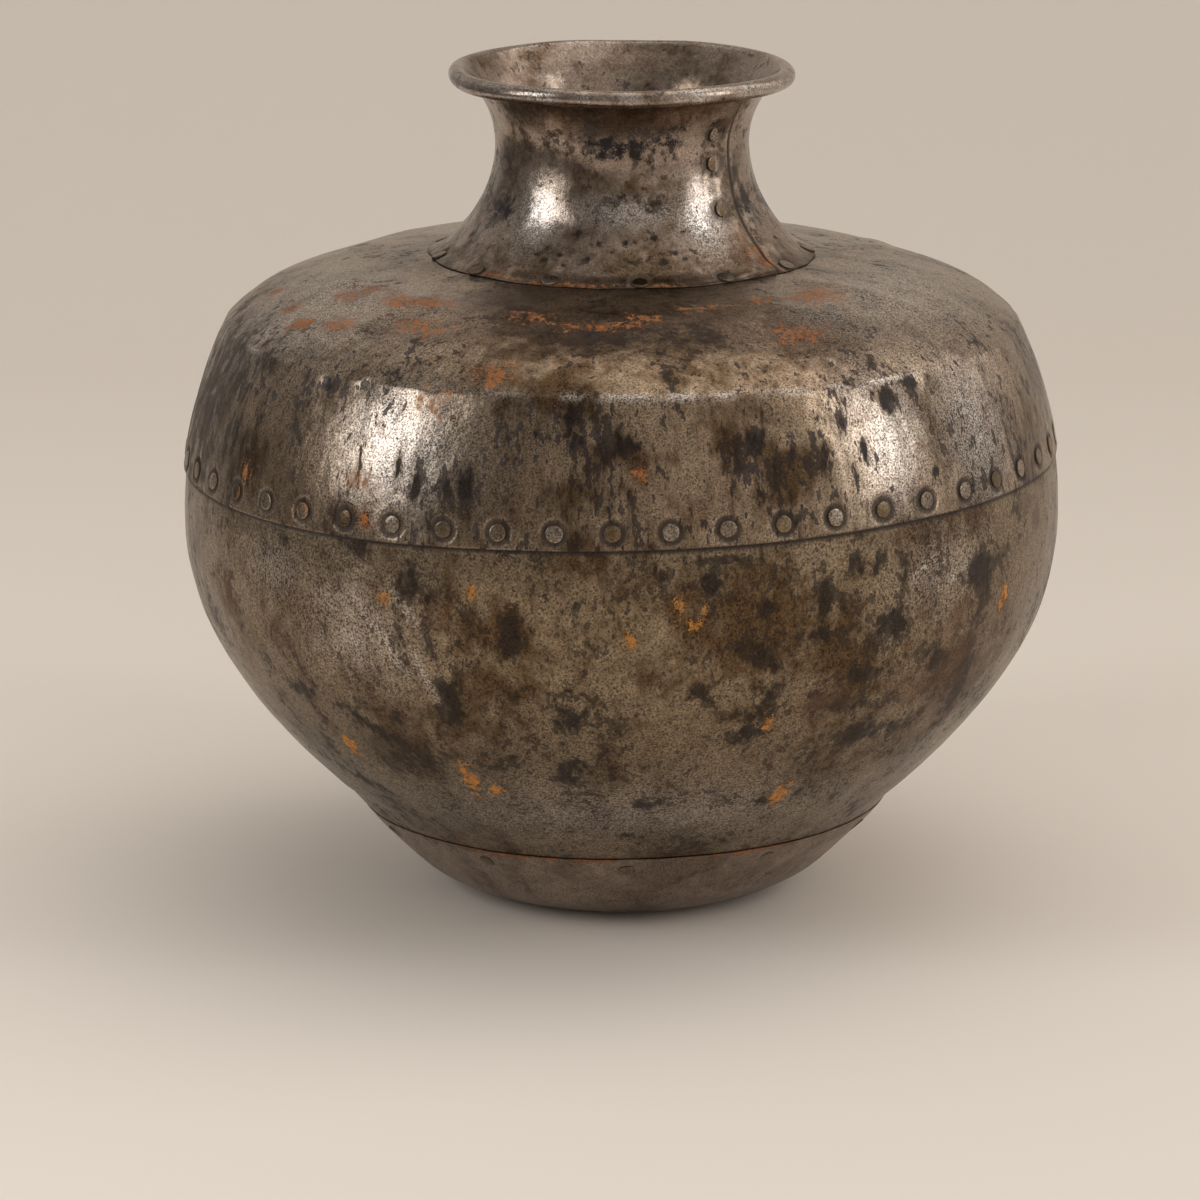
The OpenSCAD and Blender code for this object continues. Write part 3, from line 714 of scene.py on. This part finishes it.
# The bowl's iron is browner and rougher, with scale in torn clouds and small bright marks of rust
bowlIron = hammeredIron("hammered sheet iron, bowl", {
    **oldIron, "bare": "#82725e", "film": "#5d3f2a", "scale": "#1d1918", "burnt": "#2a2018",
    "rust": "#8a5a2c", "freshRust": "#cf8c36", "rustFrom": 1.02, "rustShare": 0.95, "stainShare": 0.35,
    "scaleOver": 0.15, "scaleFade": 0.1, "scaleShare": 0.9, "blotShare": 0.8, "darkPull": 0.3,
    "grainShare": 0.5, "grainSize": 0.9 * mm, "grainDepth": 0.06 * mm, "fleckShare": 0.7, "stretch": 0.7,
    "rough": 0.32})
finishPiece(lowerBowl(), bowlIron, "lower_bowl")


# Base pan: dished foot outside the bowl's lower edge; its patches of rust are placed from the pan's own edge
pan = {
    "seamHeight": 39 * mm, "seamTilt": 0.8, "edgeEase": 0.35 * mm, "columns": 420, "rows": 52,
    "firstRow": 0.01, "edgeThin": 0.7 * mm, "thinReach": 9 * mm, "edgeDarkening": 1.0 * mm, "dirtShare": 0.3,
    "rustShare": 1.1, "darkFrom": 35 * mm, "darkFull": 110 * mm, "darkShare": 0.6,
    "rust": [(-25, 0, 60, 4), (27, 0, 60, 4), (-6, 0, 30, 3), (100, 0, 70, 5), (-140, 0, 80, 5)],
}


# Height of the pan's edge: a tilted ring
def panSeamAlong(angle):
    edgeRadius = bodyCourse(alongAt(np.array([pan["seamHeight"]])))[0][0]
    return alongAt(pan["seamHeight"] + edgeRadius * tan(radians(pan["seamTilt"])) * np.cos(angle))


# The pan is a grid from its middle out along the outer face, over the eased edge and back along the inner
# face, closed by a fan at each middle
def basePan():
    angle = np.arange(pan["columns"]) * 2 * pi / pan["columns"]
    edge, ease = panSeamAlong(angle), pan["edgeEase"]
    low, high = outerLayer
    v = np.linspace(pan["firstRow"], 1, pan["rows"])[:, None]
    run = footEnd + v * (edge - ease - footEnd)
    along = np.concatenate([run, edge[None] + 0 * run[:2], run[::-1]])
    height = np.concatenate([
        np.full(pan["rows"], high), [high - ease, low + ease], np.full(pan["rows"], low)])[:, None]
    reach = edge - along
    thin = pan["edgeThin"] * (1 - smoothStep(0, pan["thinReach"], reach))
    height = height - thin * (height > low + ease)
    angle = np.broadcast_to(angle, along.shape)
    points = bodyPoints(along, angle, height).reshape(-1, 3)
    middles = np.array([[0, 0, 0], [0, 0, sheet]])
    masks = {
        "rust": patches(-reach, angle, bodyCourse(along)[0], pan["rust"]) * pan["rustShare"],
        "grimeAndShade": np.exp(-reach / pan["edgeDarkening"]) * pan["dirtShare"],
        "dark": smoothStep(pan["darkFrom"], pan["darkFull"], reach) * pan["darkShare"],
    }
    masks = {mask: np.append(values, (0, 0)) for mask, values in masks.items()}
    faces = ringFaces(*along.shape, True)
    return makePiece("base_pan_iron", np.concatenate([points, middles]), faces, masks)


# The pan's iron is an even brown oxide, rubbed smooth, with hardly any scale
panIron = hammeredIron("hammered sheet iron, foot pan", {
    **oldIron, "bare": "#9b8b7d", "brown": "#7f6e60", "rough": 0.38, "scaleOver": 0.29, "scaleFade": 0.25,
    "pepper": 0.5, "fleckShare": 0.3})
finishPiece(basePan(), panIron, "base_pan")


# Neck: one rolled sheet with a flange, a lap over its own end and a rim rolled over a wire
neck = {
    "flangeRadius": 84.5 * mm, "flangeRun": 1.5 * mm, "footBend": 16 * mm, "lean": 42,
    "waistRadius": 53 * mm, "waistRise": 48.73 * mm, "upperBend": 40 * mm, "flare": 40, "flareRun": 7.5 * mm,
    "rollBend": 3.8 * mm, "rollTurn": 280, "columns": 520, "edgeEase": 0.35 * mm,
    "seamAzimuth": 52, "lapFrom": 38, "lapFull": 47, "lapStep": 1.6 * mm, "lapEnd": 8 * mm,
    "edgeWander": 2.8 * mm, "edgeThin": 0.55, "edgeReach": 6 * mm,
    "lumps": 19 * mm, "lumpDepth": 0.5 * mm, "marks": 8 * mm, "markDepth": 0.12 * mm, "pitDepth": 0.3 * mm,
    "wallFrom": 8 * mm, "wallFull": 16 * mm, "wallEnd": 12 * mm, "rimSag": 1.0 * mm, "sagFrom": 60 * mm,
    "dish": 0.5 * mm, "dishFloor": 4.5 * mm, "dishRim": 6.4 * mm,
    "pitDark": 1.3, "ringShare": 0.6, "edgeDarkening": 1.0 * mm, "edgeShare": 0.35,
    "stepFull": 3.6 * mm, "stepEnd": 4.8 * mm, "filmFull": 6 * mm, "filmEnd": 24 * mm, "filmShare": 0.55,
    "dark": [
        (0, 45, 44, 8), (-13, 42, 12, 7), (12, 41, 14, 7), (-54, 36, 26, 20), (62, 38, 24, 22),
        (0, 70, 90, 16), (100, 40, 60, 30), (-100, 46, 60, 34), (180, 45, 80, 30)],
    "pits": [
        (-35, 22, 4, 3), (-31, 19, 5, 3), (-28, 23, 4, 3), (-27, 17, 5, 3), (-22, 20, 4, 3),
        (-20, 15, 4, 2), (-12, 18, 4, 3), (-4, 21, 4, 3), (3, 17, 4, 2), (9, 20, 4, 3), (14, 17, 5, 3),
        (19, 21, 5, 3), (22, 18, 4, 3), (26, 22, 5, 3), (30, 18, 5, 3), (35, 21, 4, 3), (-17, 30, 4, 4),
        (12, 29, 4, 3), (24, 31, 4, 3), (1, 26, 3, 3), (-8, 27, 3, 3), (70, 20, 5, 3), (95, 22, 5, 3),
        (130, 19, 5, 3), (-70, 21, 5, 3), (-110, 20, 5, 3), (-150, 22, 5, 3), (175, 18, 5, 3)],
    # The two side patches lie where the lamps' glare falls on the neck: partly wear, partly a painted
    # highlight
    "wornAndSheen": [(-37, 36, 22, 30), (33, 34, 22, 30), (0, 40, 40, 12)],
    "rust": [(-45, 4, 20, 6), (-20, 2, 40, 5), (52, 10, 12, 16), (10, 1, 20, 4)],
}
seatSlope = radians(body["seatSlope"])
lean, flare, roll = (radians(neck[key]) for key in ("lean", "flare", "rollTurn"))
footTurn = lean + seatSlope - pi / 2
# the skirt's length and the bend above it follow from the room left inwards and upwards to the waist
neckRoom = neck["flangeRadius"] - neck["flangeRun"] * cos(seatSlope) - neck["waistRadius"] \
    - neck["footBend"] * (cos(lean) - sin(seatSlope))
neckRise = neck["waistRise"] - neck["flangeRun"] * sin(seatSlope) \
    - neck["footBend"] * (cos(seatSlope) - sin(lean))
skirt, lowerBend = np.linalg.solve(
    [[sin(lean), 1 - cos(lean)], [cos(lean), sin(lean)]], [neckRoom, neckRise])
neckRuns = [
    (neck["flangeRun"], 0), (-neck["footBend"] * footTurn, footTurn), (skirt, 0), (lowerBend * lean, -lean),
    (neck["upperBend"] * flare, -flare), (neck["flareRun"], 0), (neck["rollBend"] * roll, -roll),
]
neckEnd = sum(length for length, turn in neckRuns)
rollStart = neckEnd - neckRuns[-1][0]

# the flange lies on the shoulder's seat, one gap above the shell
seatR, seatZ, seatH = bodyCourse(sampleAlong[-body["seatSamples"]:])
seatLift = 2 * lapGap + sheet
flangeHeight = float(np.interp(
    -neck["flangeRadius"], -(seatR + np.sin(seatH) * seatLift), seatZ - np.cos(seatH) * seatLift))


# Distance along the neck is measured from the flange's edge, upwards
def neckCourse(along):
    return bentCourse((neck["flangeRadius"], flangeHeight), pi - seatSlope, neckRuns, along)


# Degrees round from the lap seam
def pastSeam(angle):
    return (np.degrees(angle) + 90 - neck["seamAzimuth"]) % 360


# Points of the neck: the flange's edge wanders, the wall is lumpy and pitted, the sheet steps up over its
# own end at the lap, and the rim sags a little
def neckPoints(along, angle, height, outside):
    ring = roundAxis(neck["flangeRadius"], angle)
    wander = neck["edgeWander"] * (0.5 + 0.35 * lumps(ring, 24 * mm, 6.6) + 0.15 * lumps(ring, 9 * mm, 2.2))
    atEdge = 1 - smoothStep(0, neck["edgeReach"], along)
    height, along = height * (1 - neck["edgeThin"] * atEdge), along + wander * atEdge
    r, z, h = neckCourse(along)
    p = roundAxis(r, angle, z)
    lump = neck["lumpDepth"] * lumps(p, neck["lumps"], 12.3)
    lump = lump + neck["markDepth"] * lumps(p, neck["marks"], 31.9)
    lump = lump - neck["pitDepth"] * patches(along, angle, r, neck["pits"]) * outside
    wall = smoothStep(neck["wallFrom"], neck["wallFull"], along)
    wall = wall * (1 - smoothStep(rollStart - neck["wallEnd"], rollStart, along))
    lapFrom, lapFull = (neck[key] + 360 - neck["seamAzimuth"] for key in ("lapFrom", "lapFull"))
    lap = smoothStep(lapFrom, lapFull, pastSeam(angle)) * outside
    lap = lap * (1 - smoothStep(rollStart - neck["lapEnd"], rollStart, along))
    height = height + lump * wall + neck["lapStep"] * lap
    sag = neck["rimSag"] * (0.5 + 0.5 * lumps(ring, 42 * mm, 1.9))
    sag = sag * smoothStep(neck["sagFrom"], rollStart, along)
    return roundAxis(r + np.sin(h) * height, angle, z - np.cos(h) * height - sag)


# The neck is a grid of its closed section and of angles from the lap round to the lap
def neckCollar():
    ease = neck["edgeEase"]
    # the first and last columns stand at the same angle, so the step of the lap closes between them
    start = radians(neck["seamAzimuth"] - 90)
    angle = start + np.linspace(1e-6, 2 * pi - 1e-6, neck["columns"])
    # rows: close on the flange, wide on the wall, close round the roll
    rolled = (rollStart, neckEnd - ease)
    outerRows = np.concatenate([
        np.linspace(ease, 20 * mm, 22), np.linspace(21.6 * mm, rollStart, 34)[:-1],
        np.linspace(*rolled, 26)])
    innerRows = np.concatenate([
        np.linspace(ease, 20 * mm, 12), np.linspace(23 * mm, rollStart, 24)[:-1],
        np.linspace(*rolled, 30)])
    along, height, outside, angle = sheetSection(outerRows, innerRows, (0, sheet), ease, angle)
    places = np.concatenate([rivetPlaces("neck_flange_rivets"), rivetPlaces("neck_seam_rivets", True)])
    away = rivetDistance(neckPoints(along, angle, height, outside), places)
    dish = neck["dish"] * (1 - smoothStep(neck["dishFloor"], neck["dishRim"], away)) * outside
    points = neckPoints(along, angle, height - dish, outside)
    radius = np.hypot(points[..., 0], points[..., 1])
    spread = partial(patches, along, angle, radius)
    uneven = lumps(points, 7 * mm, 14.4) * 0.5 + 0.5
    onRoll = smoothStep(rollStart - 2 * mm, rollStart + 3 * mm, along)
    fromSeam = np.radians(pastSeam(angle)) * radius
    # Darker beside the lap's edge: dirt, and partly a painted shadow of the step
    step = (1 - smoothStep(neck["stepFull"], neck["stepEnd"], fromSeam)) * outside
    masks = {
        "rust": np.sqrt(spread(neck["rust"])),
        "dark": np.maximum(spread(neck["dark"]), neck["pitDark"] * spread(neck["pits"])),
        "wornAndSheen": np.maximum(spread(neck["wornAndSheen"]), onRoll * uneven),
        "grimeAndShade": np.maximum.reduce([
            ringDirtAndShade(away, uneven) * neck["ringShare"],
            np.exp(-along / neck["edgeDarkening"]) * neck["edgeShare"], step]),
        "film": (1 - smoothStep(neck["filmFull"], neck["filmEnd"], along)) * neck["filmShare"],
    }
    return makePiece("neck_collar_iron", points, ringFaces(*along.shape, False), masks)


# The neck's iron is greyer and finer, burnished by handling, with small dark pits above the flange
neckIron = hammeredIron("hammered sheet iron, neck", {
    **oldIron, "bare": "#97877a", "brown": "#6b5a49", "rough": 0.25, "stretch": 0.9, "blotSize": 11 * mm,
    "dashSize": 4.5 * mm, "scaleOver": 0.22, "scaleFade": 0.17, "grainShare": 0.7, "darkPull": 0.38,
    "pepper": 0.45, "fleckOver": 0.11, "fleckShare": 0.65})
finishPiece(neckCollar(), neckIron, "neck_collar")


# Rivets: flat hammered heads inside and out on one shank, each a little different
rivet = {
    "head": 3.65 * mm, "shank": 2.5 * mm, "proud": 0.3 * mm, "headDepth": 0.95 * mm, "insideHead": 0.9 * mm,
    "middle": 1.6 * mm, "sides": 28, "lapLift": 0.55, "wornTop": 0.2, "edgeDarkening": 0.8, "rustShare": 0.5,
}


# A turned section from the inner head's middle to the outer one's, stood on each place along its normal
def rivetSet(name, places, normals, lift, stack, seed):
    n, head, proud = len(places), rivet["head"], rivet["proud"]
    deep = proud - rivet["headDepth"]
    low = deep - stack
    inner = low - rivet["insideHead"]
    section = np.array([
        (rivet["middle"], inner), (0.8 * head, inner), (head, low - 0.55 * rivet["insideHead"]), (head, low),
        (rivet["shank"], low), (rivet["shank"], deep), (head, deep), (head, proud - 0.5 * mm),
        (0.97 * head, proud - 0.28 * mm), (0.9 * head, proud - 0.12 * mm), (0.78 * head, proud - 0.05 * mm),
        (0.45 * head, proud)])
    phase = np.arange(rivet["sides"]) * 2 * pi / rivet["sides"]
    side = np.cross((0, 0, 1), normals)
    side = side / np.linalg.norm(side, axis=-1, keepdims=True)
    upward = np.cross(normals, side)
    # hand-set: each head has its own size and outline, and its top leans a little
    odd = np.sin(np.arange(n)[:, None] * np.array([2.4, 5.1, 3.3, 7.7]) + seed)
    outline = 1 + 0.03 * odd[:, :1] + 0.025 * np.cos(2 * phase + 3 * odd[:, 1:2]) \
        + 0.012 * np.cos(3 * phase + 5 * odd[:, 2:3])
    reach = section[None, :, None, 0] * outline[:, None, :]
    tilt = 0.03 * np.cos(phase + 4 * odd[:, 3:4])
    top = (section[:, 1] > proud - 0.6 * mm)[None, :, None]
    rise = section[None, :, None, 1] + np.where(top, reach * tilt[:, None, :], 0) + lift
    ray = np.cos(phase)[:, None] * side[:, None, None] + np.sin(phase)[:, None] * upward[:, None, None]
    rings = places[:, None, None] + reach[..., None] * ray + rise[..., None] * normals[:, None, None]
    tips = np.stack([places + (section[k, 1] + lift[:, 0]) * normals for k in (0, -1)], 1)
    points = np.concatenate([rings.reshape(n, -1, 3), tips], 1)
    each = (np.arange(n) * points.shape[1])[:, None, None]
    grid = ringFaces(len(section), rivet["sides"], True)
    faces = [(part + each).reshape(-1, part.shape[1]) for part in grid]
    # heads are worn bright on top, darker at their foot with dirt and painted shade in the hollow, and some
    # are rusted
    polish = rivet["wornTop"] * (1 + odd[:, :1])
    onTop = np.broadcast_to(top & (section[None, :, None, 0] < 0.95 * head), reach.shape).reshape(n, -1)
    foot = np.broadcast_to(section[None, :, None, 1] < proud - 0.2 * mm, reach.shape).reshape(n, -1)
    blank = np.zeros((n, 1))
    masks = {
        "wornAndSheen": np.concatenate([onTop * polish, blank, polish], 1),
        "grimeAndShade": np.concatenate([foot, blank + 1, blank], 1) * rivet["edgeDarkening"],
        "rust": np.repeat(smoothStep(0.5, 0.9, odd[:, 2:3]) * rivet["rustShare"], points.shape[1], 1),
    }
    return makePiece(name, points, faces, masks)


# Seat of each rivet: the nearest point of a course's outer layer, with the sheet's normal there
def rivetSeats(places, course, samples, height):
    r, z, h = course(samples)
    r, z = r + np.sin(h) * height, z - np.cos(h) * height
    reach, angle = np.hypot(places[:, 0], places[:, 1]), np.arctan2(places[:, 1], places[:, 0])
    near = np.argmin((r[None] - reach[:, None]) ** 2 + (z[None] - places[:, 2:3]) ** 2, axis=1)
    seat = roundAxis(r[near], angle, z[near])
    normal = roundAxis(np.sin(h[near]), angle, -np.cos(h[near]))
    return seat, normal, samples[near], angle


# The rivets' iron is struck flat and dense, browner than the sheets, with worn tops
rivetIron = hammeredIron("flat-hammered iron rivets", {
    **oldIron, "bare": "#786852", "brown": "#5a4936", "scaleOver": 0.4, "rough": 0.32, "blotSize": 8 * mm,
    "dashSize": 3 * mm, "fleckShare": 0.0, "pepper": 0.5})
twoSheets = 2 * sheet + lapGap
onBody = (bodyCourse, sampleAlong, outerLayer[1])
onNeck = (neckCourse, np.linspace(0, rollStart, 2000), sheet)

for seed, (name, node, sheetFace) in enumerate([
        ("belly_rivet_heads", "belly_seam_rivets", onBody),
        ("base_rivet_heads", "base_seam_rivets", onBody),
        ("flange_rivet_heads", "neck_flange_rivets", onNeck),
        ("neck_seam_rivet_heads", "neck_seam_rivets", onNeck)], 1):
    upTheSeam = node == "neck_seam_rivets"
    seat, normal, near, angle = rivetSeats(rivetPlaces(node, upTheSeam), *sheetFace)
    # heads sink with the dents of the body, and ride up on the neck's lap
    lapLift = rivet["lapLift"] * neck["lapStep"] if upTheSeam else 0.0
    lift = handDents(near, angle) if sheetFace is onBody else np.full(len(seat), lapLift)
    heads = rivetSet(name, seat, normal, lift[:, None, None], twoSheets, float(seed))
    finishPiece(heads, rivetIron, node)

# The wire in the rim keeps its CAD shape. Drawn iron wire is smooth and dull under its brown oxide
wireIron = hammeredIron("drawn iron wire", {**oldIron, "bare": "#6b6157", "brown": "#4c4239", "rough": 0.4})
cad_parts["rim_wire"].data.materials.clear()
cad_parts["rim_wire"].data.materials.append(wireIron)
